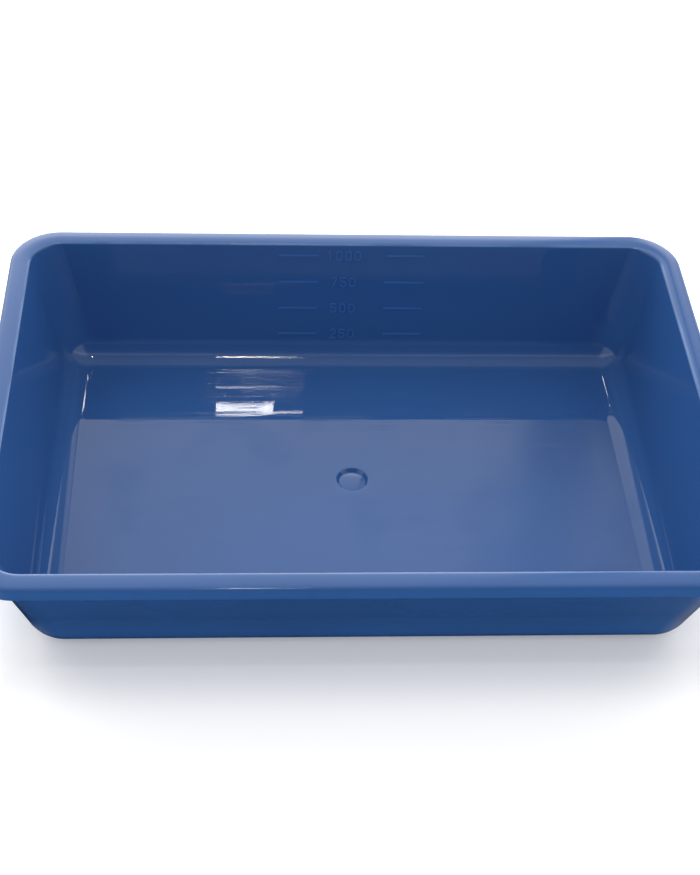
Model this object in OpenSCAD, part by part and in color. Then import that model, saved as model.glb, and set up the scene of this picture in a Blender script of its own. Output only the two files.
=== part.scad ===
// Developing tray for prints: a deep rectangular dish with sloping walls, rounded corners,
// a wide flat floor, a rim with a turned-down lip, and a volume scale moulded on the back wall.
// Frame: millimetres, +Z up, +X along the long side, -Y at the front.
// The origin is at the centre of the base's underside.

/* [Tray] */
// Length over the rim, along X
tray_length = 230; // [195:1:300]
// Width over the rim, along Y
tray_width = 162; // [140:1:190]
// Height from the base's underside to the top of the rim
tray_height = 45; // [44:0.5:60]
// Thickness of the flat floor
floor_thickness = 2.5; // [2:0.1:3.5]
// Thickness of the walls, square to their faces
wall_thickness = 2.5; // [1.8:0.1:3.5]
// Slope of the walls away from upright, in degrees
wall_draft = 14; // [8:0.5:18]
// Corner radius of the well, in plan
well_corner_radius = 10.5; // [10.5:0.5:16]
// Radius of the fillet where the floor meets the walls
floor_fillet = 9.5; // [4:0.5:9.5]

/* [Rim] */
// Width of the rim, from its outer face to the wall's inner face
rim_width = 6.6; // [5.5:0.1:8]
// Corner radius of the rim's outer face, in plan
rim_corner_radius = 16; // [10:0.5:20]
// Thickness of the rim's flat top
rim_thickness = 2.2; // [1.6:0.1:3]
// Height of the lip that turns down from the rim's outer edge
lip_height = 4.6; // [3.6:0.1:7]
// Thickness of the lip
lip_thickness = 1.8; // [1.2:0.1:2.4]
// Edge radius along the outside of the rim's top
rim_outer_round = 1.3; // [0.5:0.1:1.6]
// Edge radius along the inside of the rim's top
rim_inner_round = 1.5; // [0.5:0.1:2]

/* [Floor recess] */
// Diameter of the round recess in the floor
recess_diameter = 10.8; // [6:0.2:16]
// Depth of the recess
recess_depth = 1.1; // [0.4:0.1:1.6]
// How far the recess lies behind the floor's centre
recess_offset = 2.3; // [-5:0.1:5]

/* [Volume scale] */
// Height of the lowest line above the floor
first_line = 9; // [8:0.1:9.2]
// Height between one line of the scale and the next
line_step = 9.8; // [8:0.1:9.8]
// Length of each raised line
line_length = 13.2; // [8:0.2:20]
// Width of each raised line
line_width = 0.7; // [0.4:0.1:1.2]
// Gap between the left and right lines of a pair
line_gap = 24; // [20:0.5:32]
// How far the scale stands to the right of the tray's centre
scale_offset = 1.5; // [-20:0.1:20]
// How far the lines and figures stand out of the wall
relief = 0.25; // [0.15:0.05:0.5]
// Height of a figure
figure_height = 3.7; // [2.5:0.1:5]
// Width of a figure
figure_width = 2.4; // [1.8:0.1:3]
// Distance from one figure to the next
figure_pitch = 3.2; // [2.8:0.1:4]
// Width of a figure's strokes
stroke = 0.5; // [0.4:0.05:0.7]

/* [Hidden] */

moulding_colour = [0.10, 0.27, 0.55];

// The figures of each line of the scale, from the lowest line up
scale_rows = [[2, 5, 0], [5, 0, 0], [7, 5, 0], [1, 0, 0, 0]];
// The figures stand this far to the left of the middle of the scale
figures_shift = 2.9;

// Facets on each quarter turn of the tray's corners, and on each rounding of its section
corner_steps = 10;
fillet_steps = 8;
round_steps = 4;
// Small break along the lip's bottom edges
lip_break = 0.4;
// The walls run this far onto the flat floor, and the floor's plate laps half of it
floor_lap = 1;

slope = tan(wall_draft);
half_length = tray_length / 2;
half_width = tray_width / 2;
fillet_turn = 90 - wall_draft;
base_fillet = floor_fillet + wall_thickness;

// Inset of the well's wall from the rim's outer face at height z, and of the wall's outer face
function inner_inset(z) = rim_width + (tray_height - z) * slope;
function outer_inset(z) = inner_inset(z) - wall_thickness / cos(wall_draft);

// The section is a list of [inset, height, corner radius], from the floor over the rim to the base.
// Inside a fillet the corners shrink as the section moves in, so every corner is a smooth dish.
inner_fillet_z = floor_thickness + floor_fillet;
inner_fillet_inset = inner_inset(inner_fillet_z) + floor_fillet / cos(wall_draft);
inner_fillet_end = inner_fillet_inset - floor_fillet * cos(wall_draft);
inner_fillet = [
    for (i = [0 : fillet_steps])
        let (turn = fillet_turn * i / fillet_steps)
        let (inset = inner_fillet_inset - floor_fillet * sin(turn))
        [inset, inner_fillet_z - floor_fillet * cos(turn), well_corner_radius + inner_fillet_end - inset]
];

inner_round_z = tray_height - rim_inner_round;
inner_round_inset = inner_inset(inner_round_z) - rim_inner_round / cos(wall_draft);
inner_round = [
    for (i = [0 : round_steps])
        let (turn = wall_draft + fillet_turn * i / round_steps)
        let (reach = rim_inner_round * cos(turn))
        [
            inner_round_inset + reach,
            inner_round_z + rim_inner_round * sin(turn),
            well_corner_radius + rim_inner_round * cos(wall_draft) - reach
        ]
];

outer_round = [
    for (i = [0 : round_steps])
        let (turn = 90 * i / round_steps)
        let (inset = rim_outer_round * (1 - sin(turn)))
        [inset, tray_height - rim_outer_round * (1 - cos(turn)), rim_corner_radius - inset]
];

lip_bottom = tray_height - lip_height;
rim_underside = tray_height - rim_thickness;
lip_section = [
    [0, lip_bottom + lip_break, rim_corner_radius],
    [lip_break, lip_bottom, rim_corner_radius - lip_break],
    [lip_thickness - lip_break, lip_bottom, rim_corner_radius - lip_thickness + lip_break],
    [lip_thickness, lip_bottom + lip_break, rim_corner_radius - lip_thickness],
    [lip_thickness, rim_underside, rim_corner_radius - lip_thickness]
];

wall_corner_radius = well_corner_radius + wall_thickness;
outer_fillet_inset = outer_inset(base_fillet) + base_fillet / cos(wall_draft);
outer_fillet_end = outer_fillet_inset - base_fillet * cos(wall_draft);
outer_fillet = [
    for (i = [fillet_steps : -1 : 0])
        let (turn = fillet_turn * i / fillet_steps)
        let (inset = outer_fillet_inset - base_fillet * sin(turn))
        [inset, base_fillet * (1 - cos(turn)), wall_corner_radius + outer_fillet_end - inset]
];

// Where the walls end on the flat floor, on top and underneath
floor_edge_inset = inner_fillet_inset + floor_lap;
floor_edge_radius = well_corner_radius + inner_fillet_end - floor_edge_inset;

section = concat(
    [[floor_edge_inset, floor_thickness, floor_edge_radius]],
    inner_fillet,
    inner_round,
    outer_round,
    lip_section,
    [[outer_inset(rim_underside), rim_underside, wall_corner_radius]],
    outer_fillet,
    [[floor_edge_inset, 0, floor_edge_radius]]
);

// One rounded rectangle round the tray, for one point of the section
function corner_arc(x, y, start, radius, z) = [
    for (i = [0 : corner_steps])
        let (angle = start + 90 * i / corner_steps)
        [x + radius * cos(angle), y + radius * sin(angle), z]
];
function ring(inset, z, radius) =
    let (x = half_length - inset - radius)
    let (y = half_width - inset - radius)
    concat(
        corner_arc(x, y, 0, radius, z),
        corner_arc(-x, y, 90, radius, z),
        corner_arc(-x, -y, 180, radius, z),
        corner_arc(x, -y, 270, radius, z)
    );

// Walls, rim and lip: the section carried right round the tray, open in the middle
module wall_band() {
    rings = len(section);
    sides = 4 * (corner_steps + 1);
    points = [for (s = section) each ring(s[0], s[1], s[2])];
    faces = [
        for (i = [0 : rings - 1])
            for (j = [0 : sides - 1])
                let (here = i * sides)
                let (next = ((i + 1) % rings) * sides)
                let (k = (j + 1) % sides)
                [here + j, here + k, next + k, next + j]
    ];
    polyhedron(points = points, faces = faces);
}

// Flat middle of the floor, which closes the band's opening
module floor_plate() {
    inset = floor_edge_inset - floor_lap / 2;
    translate([inset - half_length, inset - half_width, 0])
        cube([tray_length - 2 * inset, tray_width - 2 * inset, floor_thickness]);
}

module tray() {
    color(moulding_colour)
    difference() {
        union() {
            wall_band();
            floor_plate();
        }
        translate([0, recess_offset, floor_thickness - recess_depth])
            cylinder(d = recess_diameter, h = recess_depth + 1, $fn = 64);
    }
}

// Places its children at one row of the scale, on the back wall's inner face:
// X to the right, Y up the wall, Z out of it
module on_scale_row(row) {
    z = floor_thickness + first_line + (row - 1) * line_step;
    translate([scale_offset, half_width - inner_inset(z), z])
        rotate([90 - wall_draft, 0, 0])
            children();
}

// A round-ended raised bar from one point to another
module bar(from, to, width) {
    run = to - from;
    translate(from)
        rotate([0, 0, atan2(run[1], run[0])]) {
            translate([0, -width / 2]) square([norm(run), width]);
            circle(d = width, $fn = 24);
            translate([norm(run), 0]) circle(d = width, $fn = 24);
        }
}

module volume_lines() {
    color(moulding_colour)
    for (row = [1 : len(scale_rows)], side = [-1, 1])
        on_scale_row(row)
            linear_extrude(relief)
                bar([side * line_gap / 2, 0], [side * (line_gap / 2 + line_length), 0], line_width);
}

// Each figure is drawn from strokes, with its lower left corner at the origin
bowl = figure_width / 2;
module bowl_ring() {
    difference() {
        circle(r = bowl, $fn = 48);
        circle(r = bowl - stroke, $fn = 48);
    }
}

module figure_0() {
    translate([bowl, figure_height - bowl]) intersection() {
        bowl_ring();
        translate([-bowl, 0]) square([figure_width, bowl]);
    }
    translate([bowl, bowl]) intersection() {
        bowl_ring();
        translate([-bowl, -bowl]) square([figure_width, bowl]);
    }
    for (x = [0, figure_width - stroke])
        translate([x, bowl]) square([stroke, figure_height - 2 * bowl]);
}

module figure_1() {
    middle = figure_width / 2;
    bar([middle, stroke / 2], [middle, figure_height - stroke / 2], stroke);
    bar([middle, figure_height - stroke / 2], [stroke, figure_height * 0.72], stroke);
}

module figure_2() {
    translate([bowl, figure_height - bowl]) intersection() {
        bowl_ring();
        translate([-bowl, 0]) square([figure_width, bowl]);
    }
    knee = [figure_width - stroke / 2, figure_height - bowl];
    foot = [stroke / 2, stroke / 2];
    bar(knee, foot, stroke);
    bar(foot, [figure_width - stroke / 2, stroke / 2], stroke);
}

module figure_5() {
    left = stroke / 2;
    shoulder = 2 * bowl - stroke / 2;
    top = figure_height - stroke / 2;
    bar([left, top], [figure_width - left, top], stroke);
    bar([left, top], [left, shoulder], stroke);
    bar([left, shoulder], [bowl, shoulder], stroke);
    translate([bowl, bowl]) difference() {
        bowl_ring();
        translate([-bowl, 0]) square([bowl, bowl]);
    }
}

module figure_7() {
    left = stroke / 2;
    top = figure_height - stroke / 2;
    bar([left, top], [figure_width - left, top], stroke);
    bar([figure_width - left, top], [figure_width * 0.35, left], stroke);
}

module figure(value) {
    if (value == 0) figure_0();
    if (value == 1) figure_1();
    if (value == 2) figure_2();
    if (value == 5) figure_5();
    if (value == 7) figure_7();
}

module volume_figures() {
    color(moulding_colour)
    for (row = [1 : len(scale_rows)]) {
        digits = scale_rows[row - 1];
        run = (len(digits) - 1) * figure_pitch + figure_width;
        on_scale_row(row)
            translate([-figures_shift - run / 2, -figure_height / 2, 0])
                for (i = [0 : len(digits) - 1])
                    translate([i * figure_pitch, 0, 0])
                        linear_extrude(relief) figure(digits[i]);
    }
}

tray();
volume_lines();
volume_figures();
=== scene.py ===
import math

import bmesh
import bpy
from mathutils import Matrix, Vector


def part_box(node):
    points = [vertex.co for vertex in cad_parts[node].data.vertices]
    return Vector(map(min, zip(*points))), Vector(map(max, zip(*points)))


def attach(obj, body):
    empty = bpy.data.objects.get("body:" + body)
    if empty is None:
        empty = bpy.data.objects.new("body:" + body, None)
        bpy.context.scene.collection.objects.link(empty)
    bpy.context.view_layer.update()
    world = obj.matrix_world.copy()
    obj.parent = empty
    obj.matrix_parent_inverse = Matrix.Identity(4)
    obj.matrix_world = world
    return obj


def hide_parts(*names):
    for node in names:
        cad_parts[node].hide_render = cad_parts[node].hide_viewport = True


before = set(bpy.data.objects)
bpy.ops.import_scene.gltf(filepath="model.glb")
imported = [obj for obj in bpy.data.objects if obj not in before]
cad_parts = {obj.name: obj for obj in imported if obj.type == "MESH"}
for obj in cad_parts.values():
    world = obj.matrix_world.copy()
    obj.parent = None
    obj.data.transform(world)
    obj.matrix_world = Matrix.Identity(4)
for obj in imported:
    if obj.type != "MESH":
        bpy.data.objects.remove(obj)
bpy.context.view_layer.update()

# ---------------------------------------------------------------- sizes
MM = 0.001
tray_low, tray_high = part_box("tray")
HALF_LENGTH = (tray_high.x - tray_low.x) / 2
HALF_WIDTH = (tray_high.y - tray_low.y) / 2
HEIGHT = tray_high.z - tray_low.z

FLOOR = 2.5 * MM
WALL = 2.5 * MM
DRAFT = math.radians(14)
SLOPE = math.tan(DRAFT)
UPRIGHT = math.pi / 2
WELL_CORNER = 10.5 * MM
BASE_CORNER = WELL_CORNER + WALL
FILLET = 9.5 * MM
BASE_FILLET = FILLET + WALL

# The rim's top is crowned by this angle at each edge, between an inner and an outer round.
RIM_WIDTH = 6.6 * MM
RIM_CORNER = 16 * MM
RIM_THICKNESS = 2.2 * MM
OUTER_ROUND = 1.2 * MM
INNER_ROUND = 1.4 * MM
CROWN = math.radians(6)
LIP_HEIGHT = 4.6 * MM
LIP_THICKNESS = 1.8 * MM
LIP_ROUND = 0.55 * MM

# The recess in the floor has a sloping side and a low dome in its bottom.
RECESS_RADIUS = 5.4 * MM
RECESS_DEPTH = 1.1 * MM
RECESS_OFFSET = 2.3 * MM
RECESS_EDGE = 0.35 * MM
SIDE_SLOPE = math.radians(50)
DOME_RISE = 0.25 * MM

# How finely the mesh is cut
CORNER_STEPS = 28
SIDE_CUTS_X = 40
SIDE_CUTS_Y = 28
FILLET_STEPS = 28
BASE_FILLET_STEPS = 24
WALL_STEPS = 14
EDGE_STEPS = 10
CROWN_STEPS = 12
LIP_STEPS = 6
RECESS_EDGE_STEPS = 4
DOME_SHARES = (0.12, 0.3, 0.5, 0.68, 0.84, 0.95, 0.99)
SIDE_SHARES = (0.0, 0.03, 0.3, 0.65, 1.0)
FLOOR_SHARES = (0.03, 0.07, 0.12, 0.18, 0.26, 0.36, 0.48, 0.6, 0.72, 0.84, 0.93)
BASE_SHARES = (0.9, 0.72, 0.5, 0.3, 0.12)


def inner_inset(z):
    return RIM_WIDTH + (HEIGHT - z) * SLOPE


def outer_inset(z):
    return inner_inset(z) - WALL / math.cos(DRAFT)


def steps(n, start, end):
    return [start + (end - start) * i / n for i in range(n + 1)]


# ---------------------------------------------------------------- tray section
# Each row is (inset from the rim's outer face, height, plan corner radius).
def fillet_rows(radius, floor, wall_inset, corner, count):
    """The round between a flat face at floor and the sloping wall, from the flat face up."""
    centre_z = floor + radius
    centre_inset = wall_inset(centre_z) + radius / math.cos(DRAFT)
    end_inset = centre_inset - radius * math.cos(DRAFT)
    rows = []
    for turn in steps(count, 0, UPRIGHT - DRAFT):
        inset = centre_inset - radius * math.sin(turn)
        rows.append((inset, centre_z - radius * math.cos(turn), corner + end_inset - inset))
    return rows


def crown_arc():
    """Inset of the centre, and radius, of the arc that meets both of the rim's edge rounds smoothly."""
    outer_run = OUTER_ROUND * (1 - math.sin(CROWN))
    run = (RIM_WIDTH - outer_run - INNER_ROUND * (math.cos(DRAFT) - math.sin(CROWN))
           + SLOPE * INNER_ROUND * (math.cos(CROWN) - math.sin(DRAFT)))
    radius = run / (2 * math.sin(CROWN) - SLOPE * (1 - math.cos(CROWN)))
    return outer_run + radius * math.sin(CROWN), radius


def wall_and_rim_rows(foot):
    """Up the wall from foot, the fillet's last row, and over the rim to its outer face."""
    crown_inset, crown_radius = crown_arc()

    def edge_centre(radius, side):
        reach = crown_radius - radius
        return (crown_inset + side * reach * math.sin(CROWN),
                HEIGHT - crown_radius + reach * math.cos(CROWN))

    inner_centre = edge_centre(INNER_ROUND, 1)
    top_inset = inner_centre[0] + INNER_ROUND * math.cos(DRAFT)
    top_z = inner_centre[1] + INNER_ROUND * math.sin(DRAFT)

    def arc(centre, radius, turns):
        rows = []
        for turn in turns:
            inset = centre[0] + radius * math.cos(turn)
            corner = RIM_CORNER + (WELL_CORNER - RIM_CORNER) * inset / top_inset
            rows.append((inset, centre[1] + radius * math.sin(turn), corner))
        return rows

    wall = [(foot[0] + (top_inset - foot[0]) * t, foot[1] + (top_z - foot[1]) * t, WELL_CORNER)
            for t in steps(WALL_STEPS, 0, 1)[1:-1]]
    inner_edge = arc(inner_centre, INNER_ROUND, steps(EDGE_STEPS, DRAFT, UPRIGHT - CROWN))
    crown = arc((crown_inset, HEIGHT - crown_radius), crown_radius,
                steps(CROWN_STEPS, UPRIGHT - CROWN, UPRIGHT + CROWN)[1:-1])
    outer_edge = arc(edge_centre(OUTER_ROUND, -1), OUTER_ROUND,
                     steps(EDGE_STEPS, UPRIGHT + CROWN, math.pi))
    return wall + inner_edge + crown + outer_edge


def lip_rows():
    """Round the lip's bottom edge, up its back, and along the rim's underside to the wall."""
    middle = LIP_THICKNESS / 2
    bottom = HEIGHT - LIP_HEIGHT
    under = HEIGHT - RIM_THICKNESS
    rows = []
    for turn in steps(LIP_STEPS, 0, math.pi):
        centre = middle - (middle - LIP_ROUND) * math.copysign(1, math.cos(turn))
        inset = centre - LIP_ROUND * math.cos(turn)
        rows.append((inset, bottom + LIP_ROUND * (1 - math.sin(turn)), RIM_CORNER - inset))
    rows.append((LIP_THICKNESS, under, RIM_CORNER - LIP_THICKNESS))
    rows.append((outer_inset(under), under, BASE_CORNER))
    return rows


def tray_section():
    """Rows from the edge of the flat floor, over the rim, to the edge of the flat base."""
    well = fillet_rows(FILLET, FLOOR, inner_inset, WELL_CORNER, FILLET_STEPS)
    base = fillet_rows(BASE_FILLET, 0, outer_inset, BASE_CORNER, BASE_FILLET_STEPS)
    return well + wall_and_rim_rows(well[-1]) + lip_rows() + base[::-1]


# ---------------------------------------------------------------- tray mesh
def ring(inset, z, radius):
    """A rounded rectangle, counter-clockwise, with the same number of points at every size."""
    x, y = HALF_LENGTH - inset - radius, HALF_WIDTH - inset - radius
    arcs = []
    for cx, cy, start in ((x, y, 0), (-x, y, 90), (-x, -y, 180), (x, -y, 270)):
        turns = [math.radians(start + 90 * i / CORNER_STEPS) for i in range(CORNER_STEPS + 1)]
        arcs.append([(cx + radius * math.cos(turn), cy + radius * math.sin(turn), z) for turn in turns])
    points = []
    for k, arc in enumerate(arcs):
        points += arc
        cuts = SIDE_CUTS_X if k % 2 == 0 else SIDE_CUTS_Y
        a, b = arc[-1], arcs[(k + 1) % 4][0]
        points += [(a[0] + (b[0] - a[0]) * i / cuts, a[1] + (b[1] - a[1]) * i / cuts, z)
                   for i in range(1, cuts)]
    return points


def recess_circle(outline, radius, z):
    """A circle round the recess's axis, with one point towards each point of the outline."""
    points = []
    for x, y, _ in outline:
        turn = math.atan2(y - RECESS_OFFSET, x)
        points.append((radius * math.cos(turn), RECESS_OFFSET + radius * math.sin(turn), z))
    return points


def blend_rings(a, b, t):
    return [tuple(p + (q - p) * t for p, q in zip(u, v)) for u, v in zip(a, b)]


def recess_rings(outline):
    """A low dome, a creased foot, a sloping side, then a rounded edge up to the flat floor."""
    bottom = FLOOR - RECESS_DEPTH
    side_top = RECESS_RADIUS - RECESS_EDGE * math.sin(SIDE_SLOPE)
    side_rise = RECESS_DEPTH - RECESS_EDGE * (1 - math.cos(SIDE_SLOPE))
    foot = side_top - side_rise / math.tan(SIDE_SLOPE)
    rings = []
    for share in DOME_SHARES:
        rings.append(recess_circle(outline, foot * share, bottom + DOME_RISE * (1 - share ** 2)))
    for share in SIDE_SHARES:
        rings.append(recess_circle(outline, foot + (side_top - foot) * share, bottom + side_rise * share))
    for turn in steps(RECESS_EDGE_STEPS, SIDE_SLOPE, 0)[1:]:
        radius = RECESS_RADIUS - RECESS_EDGE * math.sin(turn)
        rings.append(recess_circle(outline, radius, FLOOR - RECESS_EDGE * (1 - math.cos(turn))))
    return rings


def shell_mesh(name):
    """One closed skin: rings from the recess's middle over the rim to the middle of the base."""
    section = tray_section()
    floor_edge = ring(*section[0])
    rings = recess_rings(floor_edge)
    recess_top = rings[-1]
    rings += [blend_rings(recess_top, floor_edge, t) for t in FLOOR_SHARES]
    rings += [ring(*row) for row in section]
    base_edge = rings[-1]
    rings += [[(x * t, y * t, 0.0) for x, y, _ in base_edge] for t in BASE_SHARES]

    bm = bmesh.new()
    rows = [[bm.verts.new(p) for p in r] for r in rings]
    count = len(rows[0])
    middle = bm.verts.new((0, RECESS_OFFSET, FLOOR - RECESS_DEPTH + DOME_RISE))
    base = bm.verts.new((0, 0, 0))
    for j in range(count):
        k = (j + 1) % count
        bm.faces.new((middle, rows[0][j], rows[0][k]))
        bm.faces.new((base, rows[-1][k], rows[-1][j]))
        for i in range(len(rows) - 1):
            bm.faces.new((rows[i][j], rows[i + 1][j], rows[i + 1][k], rows[i][k]))
    bmesh.ops.recalc_face_normals(bm, faces=bm.faces)
    for f in bm.faces:
        f.smooth = True
    return finished_mesh(name, bm)


def finished_mesh(name, bm):
    mesh = bpy.data.meshes.new(name)
    bm.to_mesh(mesh)
    bm.free()
    return mesh


def add_object(name, mesh, material):
    obj = bpy.data.objects.new(name, mesh)
    bpy.context.scene.collection.objects.link(obj)
    mesh.materials.append(material)
    return obj


# ---------------------------------------------------------------- materials
class Nodes:
    """Short helpers for building a node tree; a value may be a number or an output socket."""

    def __init__(self, tree):
        self.tree = tree

    def add(self, kind, **settings):
        node = self.tree.nodes.new(kind)
        for key, value in settings.items():
            setattr(node, key, value)
        return node

    def feed(self, value, socket):
        if isinstance(value, (int, float, tuple)):
            socket.default_value = value
        else:
            self.tree.links.new(value, socket)

    def math(self, operation, a, b=0.0):
        node = self.add("ShaderNodeMath", operation=operation)
        self.feed(a, node.inputs[0])
        self.feed(b, node.inputs[1])
        return node.outputs[0]

    def chain(self, operation, values):
        result = values[0]
        for value in values[1:]:
            result = self.math(operation, result, value)
        return result

    def sum(self, *values):
        return self.chain("ADD", values)

    def product(self, *values):
        return self.chain("MULTIPLY", values)

    def size(self, value):
        return self.math("ABSOLUTE", value)

    def step(self, value, start, end, at_start=0.0, at_end=1.0):
        """A smooth step as value goes from start to end."""
        node = self.add("ShaderNodeMapRange", interpolation_type="SMOOTHSTEP")
        self.feed(value, node.inputs["Value"])
        limits = (("From Min", start), ("From Max", end), ("To Min", at_start), ("To Max", at_end))
        for name, number in limits:
            node.inputs[name].default_value = number
        return node.outputs["Result"]

    def fall(self, value, start, end, level=1.0):
        """Level up to start, and 0 from end on."""
        return self.step(value, start, end, level, 0.0)

    def band(self, value, start, end, soft, level=1.0):
        """Level from start to end, with soft edges outside them, and 0 elsewhere."""
        return self.product(self.step(value, start - soft, start, 0.0, level),
                            self.fall(value, end, end + soft))

    def mix(self, factor, a, b):
        node = self.add("ShaderNodeMix", data_type="RGBA")
        self.feed(factor, node.inputs["Factor"])
        self.feed(a, node.inputs["A"])
        self.feed(b, node.inputs["B"])
        return node.outputs["Result"]

    def place(self, output):
        """Coordinates of the kind named, and the same split into X, Y and Z."""
        where = self.add("ShaderNodeTexCoord").outputs[output]
        axes = self.add("ShaderNodeSeparateXYZ")
        self.feed(where, axes.inputs[0])
        return where, axes.outputs["X"], axes.outputs["Y"], axes.outputs["Z"]

    def noise(self, where, scale, detail=2.0):
        node = self.add("ShaderNodeTexNoise")
        self.feed(where, node.inputs["Vector"])
        node.inputs["Scale"].default_value = scale
        node.inputs["Detail"].default_value = detail
        return node.outputs[0]

    def stretched(self, where, turn, along, across, shift):
        """Coordinates turned about Z and stretched, so that noise on them makes long thin marks."""
        node = self.add("ShaderNodeMapping")
        self.feed(where, node.inputs["Vector"])
        node.inputs["Rotation"].default_value = (0, 0, math.radians(turn))
        node.inputs["Scale"].default_value = (along, across, across)
        node.inputs["Location"].default_value = (shift, shift, 0)
        return node.outputs[0]

    def bump(self, height, distance, normal=None):
        node = self.add("ShaderNodeBump")
        self.feed(height, node.inputs["Height"])
        node.inputs["Distance"].default_value = distance
        if normal:
            self.feed(normal, node.inputs["Normal"])
        return node.outputs[0]


DEEP_BLUE = (0.030, 0.0985, 0.294)
PALE_BLUE = (0.0312, 0.1045, 0.311)
# A lighter blue painted along the rim's inner edge as a highlight line.
PAINTED_HIGHLIGHT_BLUE = (0.10, 0.20, 0.44, 1)

# Roughness of the moulded faces, and what the rim and each kind of wear add to it
GLOSSY_ROUGHNESS = 0.008
EDGE_ROUGHNESS = 0.14
RIM_ROUGHNESS = 0.12
SCRATCH_ROUGHNESS = 0.08
SCUFF_ROUGHNESS = 0.01
FINE_ROUGHNESS = 0.006
RUBBED_ROUGHNESS = 0.2

SPECULAR = 0.5
SCUFF_DULLING = 0.08
SCRATCH_DULLING = 0.05
WAVE_DEPTH = 0.05 * MM
GRAIN_DEPTH = 0.0004 * MM
SCRATCH_DEPTH = 0.003 * MM

# Turn in degrees, marks per metre along and across, offset of the pattern, sparseness
SCRATCHES = (
    (4, 16, 1500, 1.7, 0.64),
    (-28, 22, 1300, 5.3, 0.63),
    (63, 26, 1200, 9.1, 0.64),
)
SCRATCH_EDGE = 0.05


def scratch_marks(n, where, on_floor):
    """Thin marks in three directions, kept to patches of the floor."""
    marks = []
    for turn, along, across, shift, threshold in SCRATCHES:
        lines = n.noise(n.stretched(where, turn, along, across, shift), 1.0, 0.0)
        marks.append(n.step(lines, threshold, threshold + SCRATCH_EDGE))
    patches = n.step(n.noise(where, 45, 3), 0.4, 0.58)
    return n.product(n.chain("MAXIMUM", marks), patches, on_floor)


def rim_wear_and_highlight(n, where, x, y, height):
    """Broken lengths along the rim's inner edge, just below its top: a mask for rubbed wear, which
    roughens it, and for a painted highlight, which lightens its colour.
    """
    inset = n.math("MINIMUM", n.math("SUBTRACT", HALF_LENGTH, n.size(x)),
                   n.math("SUBTRACT", HALF_WIDTH, n.size(y)))
    return n.product(n.step(inset, 3.5 * MM, 4.5 * MM),
                     n.step(height, HEIGHT - 0.7 * MM, HEIGHT - 0.5 * MM),
                     n.fall(height, HEIGHT - 0.25 * MM, HEIGHT - 0.1 * MM),
                     n.step(n.noise(where, 40, 3), 0.3, 0.6, 0.35, 1.0))


def blue_plastic(name, lift=1.0, base_roughness=GLOSSY_ROUGHNESS):
    """The tray's plastic; lift lightens its colour as a painted highlight, and base_roughness dulls it,
    for raised edges that are worn.
    """
    material = bpy.data.materials.new(name)
    material.use_nodes = True
    material.node_tree.nodes.clear()
    n = Nodes(material.node_tree)
    out = n.add("ShaderNodeOutputMaterial")
    shader = n.add("ShaderNodeBsdfPrincipled")
    where, x, y, height = n.place("Object")

    on_rim = n.step(height, HEIGHT - 0.5 * MM, HEIGHT - 0.1 * MM)
    on_floor = n.fall(height, 3 * MM, 7 * MM)
    scratches = scratch_marks(n, where, on_floor)
    scuffs = n.product(n.step(n.noise(where, 32, 6), 0.53, 0.68), on_floor)
    wear_and_highlight = rim_wear_and_highlight(n, where, x, y, height)

    tint = n.mix(n.step(n.noise(where, 14, 4), 0.35, 0.65),
                 tuple(c * lift for c in DEEP_BLUE) + (1,), tuple(c * lift for c in PALE_BLUE) + (1,))
    # The rim's inner edge is lightened here as a painted highlight.
    n.feed(n.mix(wear_and_highlight, tint, PAINTED_HIGHLIGHT_BLUE), shader.inputs["Base Color"])

    fine = n.step(n.noise(where, 260, 4), 0.4, 0.75, 0.0, FINE_ROUGHNESS)
    roughness = n.sum(n.product(on_rim, RIM_ROUGHNESS), base_roughness,
                      n.product(scratches, SCRATCH_ROUGHNESS), n.product(scuffs, SCUFF_ROUGHNESS),
                      n.product(fine, on_floor), n.product(wear_and_highlight, RUBBED_ROUGHNESS))
    n.feed(roughness, shader.inputs["Roughness"])
    dulling = n.sum(n.product(scuffs, SCUFF_DULLING), n.product(scratches, SCRATCH_DULLING))
    n.feed(n.math("SUBTRACT", SPECULAR, dulling), shader.inputs["Specular IOR Level"])
    shader.inputs["IOR"].default_value = 1.5

    brushed = n.noise(n.stretched(where, 3, 60, 1800, 3.3), 1.0)
    waves = n.bump(n.noise(where, 24, 1), WAVE_DEPTH)
    grain = n.bump(n.product(brushed, on_floor), GRAIN_DEPTH, waves)
    n.feed(n.bump(scratches, SCRATCH_DEPTH, grain), shader.inputs["Normal"])
    n.feed(shader.outputs["BSDF"], out.inputs["Surface"])
    return material


def white_bench(name):
    """White laminate that glows a little, less so in the shade beside the tray."""
    material = bpy.data.materials.new(name)
    material.use_nodes = True
    n = Nodes(material.node_tree)
    shader = material.node_tree.nodes["Principled BSDF"]
    where, x, y, _ = n.place("Object")
    past_end = n.step(n.size(x), HALF_LENGTH - 20 * MM, HALF_LENGTH + 10 * MM)
    past_side = n.step(n.size(y), HALF_WIDTH - 15 * MM, HALF_WIDTH + 20 * MM)
    clear = n.math("MAXIMUM", past_end, past_side)
    n.feed(n.step(clear, 0, 1, 0.2, 0.45), shader.inputs["Emission Strength"])
    n.feed(n.step(n.noise(where, 30, 4), 0.3, 0.7, 0.5, 0.6), shader.inputs["Roughness"])
    shader.inputs["Base Color"].default_value = (0.9, 0.9, 0.89, 1)
    shader.inputs["Emission Color"].default_value = (1, 1, 1, 1)
    return material


def plain_grey(name):
    """Even pale grey that lamps don't change."""
    material = bpy.data.materials.new(name)
    material.use_nodes = True
    shader = material.node_tree.nodes["Principled BSDF"]
    shader.inputs["Base Color"].default_value = (0, 0, 0, 1)
    shader.inputs["Specular IOR Level"].default_value = 0
    shader.inputs["Emission Color"].default_value = (0.86, 0.87, 0.88, 1)
    shader.inputs["Emission Strength"].default_value = 1
    return material


# ---------------------------------------------------------------- tray
WELD_DISTANCE = 0.005 * MM
BEVEL_WIDTH = 0.2 * MM
BEVEL_ANGLE = math.radians(40)

shell = add_object("tray_shell", shell_mesh("tray_shell"), blue_plastic("blue_plastic"))
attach(shell, "root")
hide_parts("tray")


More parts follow.
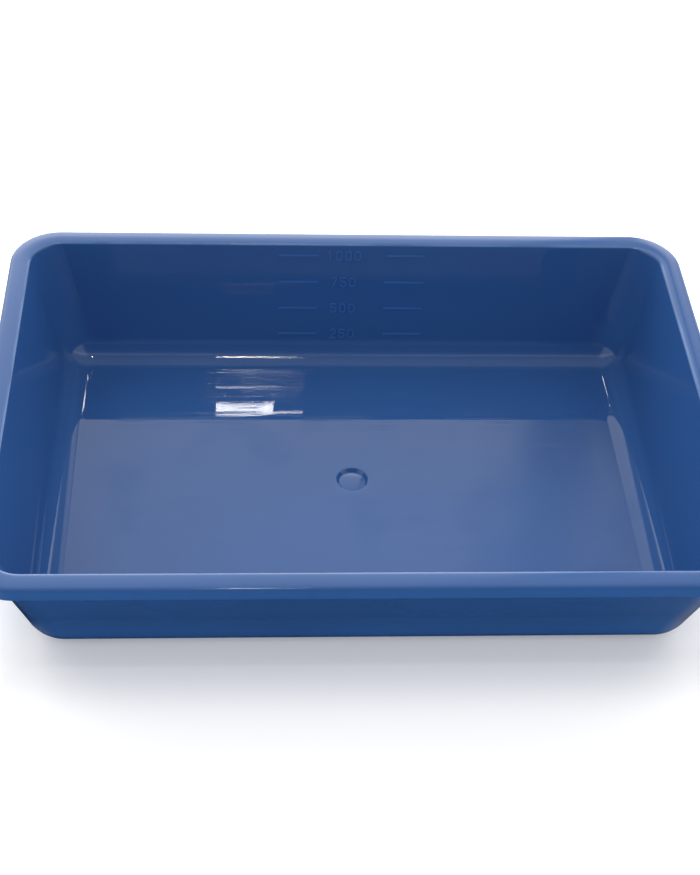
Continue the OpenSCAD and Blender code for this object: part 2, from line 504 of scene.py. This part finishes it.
def finish_relief(node, material):
    """Gives a raised CAD node its material and soft edges."""
    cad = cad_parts[node]
    cad.data.materials.clear()
    cad.data.materials.append(material)
    weld = cad.modifiers.new("weld", "WELD")
    weld.merge_threshold = WELD_DISTANCE
    soften = cad.modifiers.new("soften", "BEVEL")
    soften.width = BEVEL_WIDTH
    soften.segments = 3
    soften.angle_limit = BEVEL_ANGLE


# The raised lines and figures get a lighter colour as a painted highlight, and a duller finish for worn
# edges.
worn_highlit_plastic = blue_plastic("blue_plastic_worn_highlit", 1.4, EDGE_ROUGHNESS)
for node in ("volume_lines", "volume_figures"):
    finish_relief(node, worn_highlit_plastic)

# ---------------------------------------------------------------- bench and backdrop
BENCH_REACH = 6.0
DOME_RADIUS = 0.95 * BENCH_REACH


def add_bench():
    """A flat white bench under the tray. It stays out of reflections."""
    bm = bmesh.new()
    corners = ((-1, -1), (1, -1), (1, 1), (-1, 1))
    bm.faces.new([bm.verts.new((BENCH_REACH * x, BENCH_REACH * y, 0)) for x, y in corners])
    bench = add_object("bench", finished_mesh("bench", bm), white_bench("white_bench"))
    bench.visible_glossy = False


def add_backdrop():
    """A pale dome over the bench. It is seen directly, and stays out of reflections and shadows."""
    bm = bmesh.new()
    bmesh.ops.create_uvsphere(bm, u_segments=48, v_segments=24, radius=DOME_RADIUS)
    dome = add_object("backdrop", finished_mesh("backdrop", bm), plain_grey("plain_grey"))
    for kind in ("diffuse", "glossy", "transmission", "shadow"):
        setattr(dome, "visible_" + kind, False)


add_bench()
add_backdrop()

# ---------------------------------------------------------------- camera
LENS = 65.6
PITCH = math.radians(44.45)
YAW = math.radians(5.03)
ROLL = math.radians(3.55)
CAMERA_AT = Vector((-34.0, -366.0, 384.7)) * MM


def add_camera():
    forward = Vector((math.sin(YAW) * math.cos(PITCH), math.cos(YAW) * math.cos(PITCH), -math.sin(PITCH)))
    level_right = Vector((math.cos(YAW), -math.sin(YAW), 0))
    level_up = level_right.cross(forward)
    right = level_right * math.cos(ROLL) + level_up * math.sin(ROLL)
    up = level_up * math.cos(ROLL) - level_right * math.sin(ROLL)
    data = bpy.data.cameras.new("camera")
    data.sensor_width = 36
    data.lens = LENS
    data.clip_start = 0.01
    camera = bpy.data.objects.new("camera", data)
    bpy.context.scene.collection.objects.link(camera)
    axes = Matrix((right, up, -forward)).transposed().to_4x4()
    camera.matrix_world = Matrix.Translation(CAMERA_AT) @ axes
    bpy.context.scene.camera = camera


add_camera()


# ---------------------------------------------------------------- light
def light_from_behind(sky, elevation, bearing):
    """A pale window behind the tray, brightest low down, with a darker gap to the right of its middle."""
    low_sweep = sky.product(sky.fall(elevation, 25, 32, 1.8), sky.band(bearing, -50, 50, 8))
    sweep = sky.product(sky.fall(elevation, 32, 40, 1.8), sky.band(bearing, -29, 22, 6))
    behind = sky.band(bearing, -29, 27, 7)
    window = sky.product(sky.fall(elevation, 40, 75, 1.5), behind, sky.step(bearing, 10, 17, 1.0, 0.68))
    skirting = sky.product(sky.fall(elevation, 38, 43, 0.3), behind)
    gap = sky.product(sky.band(bearing, 15, 16, 2.5), sky.step(elevation, 42, 49, 0.9, 0.3))
    pale = sky.sum(sky.math("MAXIMUM", sweep, low_sweep), window)
    return sky.sum(sky.product(pale, sky.math("SUBTRACT", 1.0, gap)), skirting)


def light_of_room(sky, elevation, bearing):
    """Dim light from overhead and the front, two rails in it, and brighter patches to both sides."""
    overhead = sky.sum(sky.fall(elevation, 96, 102, 0.18), sky.fall(elevation, 121, 133, 0.38))
    overhead = sky.product(overhead, sky.step(elevation, 44, 60, 0.3, 1.0))
    off_side = sky.size(sky.math("SUBTRACT", sky.size(bearing), 100))
    sides = sky.product(sky.step(elevation, 98, 118), sky.fall(off_side, 32, 48, 0.85))
    rails = sky.sum(sky.band(elevation, 116, 119, 0.8, 0.7), sky.band(elevation, 163, 167, 0.8, 0.3))
    return sky.sum(0.06, overhead, sides, rails)


def add_world():
    world = bpy.data.worlds.new("world")
    bpy.context.scene.world = world
    world.use_nodes = True
    sky = Nodes(world.node_tree)
    background = world.node_tree.nodes["Background"]
    _, x, y, z = sky.place("Generated")

    # In degrees: elevation above the back horizon, carried over the zenith to 180 at the front,
    # and the bearing from the back towards the right.
    elevation = sky.product(sky.math("ARCTAN2", z, y), 180 / math.pi)
    bearing = sky.product(sky.math("ARCTAN2", x, y), 180 / math.pi)
    lit = sky.sum(light_from_behind(sky, elevation, bearing), light_of_room(sky, elevation, bearing))

    # The bench isn't in reflections, so below the horizon they meet this ground, paler to the sides.
    ground = sky.step(sky.size(x), 0.2, 0.5, 0.0, 0.3)
    above = sky.step(z, -0.03, 0.0)
    lit = sky.sum(sky.product(lit, above), sky.product(ground, sky.math("SUBTRACT", 1.0, above)))
    sky.feed(lit, background.inputs["Strength"])
    background.inputs["Color"].default_value = (1, 1, 1, 1)


def area_lamp(name, at, towards, size, radiance, glossy=True):
    """A flat rectangular lamp that the camera doesn't see; size is (along X, across)."""
    data = bpy.data.lights.new(name, "AREA")
    data.shape = "RECTANGLE"
    data.size, data.size_y = size
    data.energy = radiance * math.pi * size[0] * size[1]
    lamp = bpy.data.objects.new(name, data)
    aim = (Vector(towards) - Vector(at)).to_track_quat("-Z", "Y").to_matrix().to_4x4()
    lamp.matrix_world = Matrix.Translation(at) @ aim
    lamp.visible_camera = False
    lamp.visible_glossy = glossy
    bpy.context.scene.collection.objects.link(lamp)
    return data


# Narrow lamps overhead, which make the bright bars: name, X, Y, length, width, radiance
TUBE_HEIGHT = 1.2
TUBE_BOUNCES = 2
TUBES = (
    ("tube_wide", -0.040, -0.317, 0.065, 0.016, 200),
    ("tube_tail", 0.010, -0.311, 0.035, 0.003, 120),
    ("tube_middle", -0.022, -0.344, 0.101, 0.0022, 90),
    ("tube_far", -0.022, -0.3615, 0.101, 0.0022, 90),
)


def add_lamps():
    for name, x, y, length, width, radiance in TUBES:
        tube = area_lamp(name, (x, y, TUBE_HEIGHT), (x, y, 0), (length, width), radiance)
        tube.cycles.max_bounces = TUBE_BOUNCES
    for name, side in (("side_left", -1), ("side_right", 1)):
        area_lamp(name, (side * 0.42, 0.32, 0.34), (0, 0.08, 0.03), (0.45, 0.4), 1.5, glossy=False)
    area_lamp("front_fill", (0, -0.7, 0.7), (0, 0.05, 0.02), (0.6, 0.4), 1.2, glossy=False)


add_world()
add_lamps()
bpy.context.scene.view_settings.view_transform = "Standard"
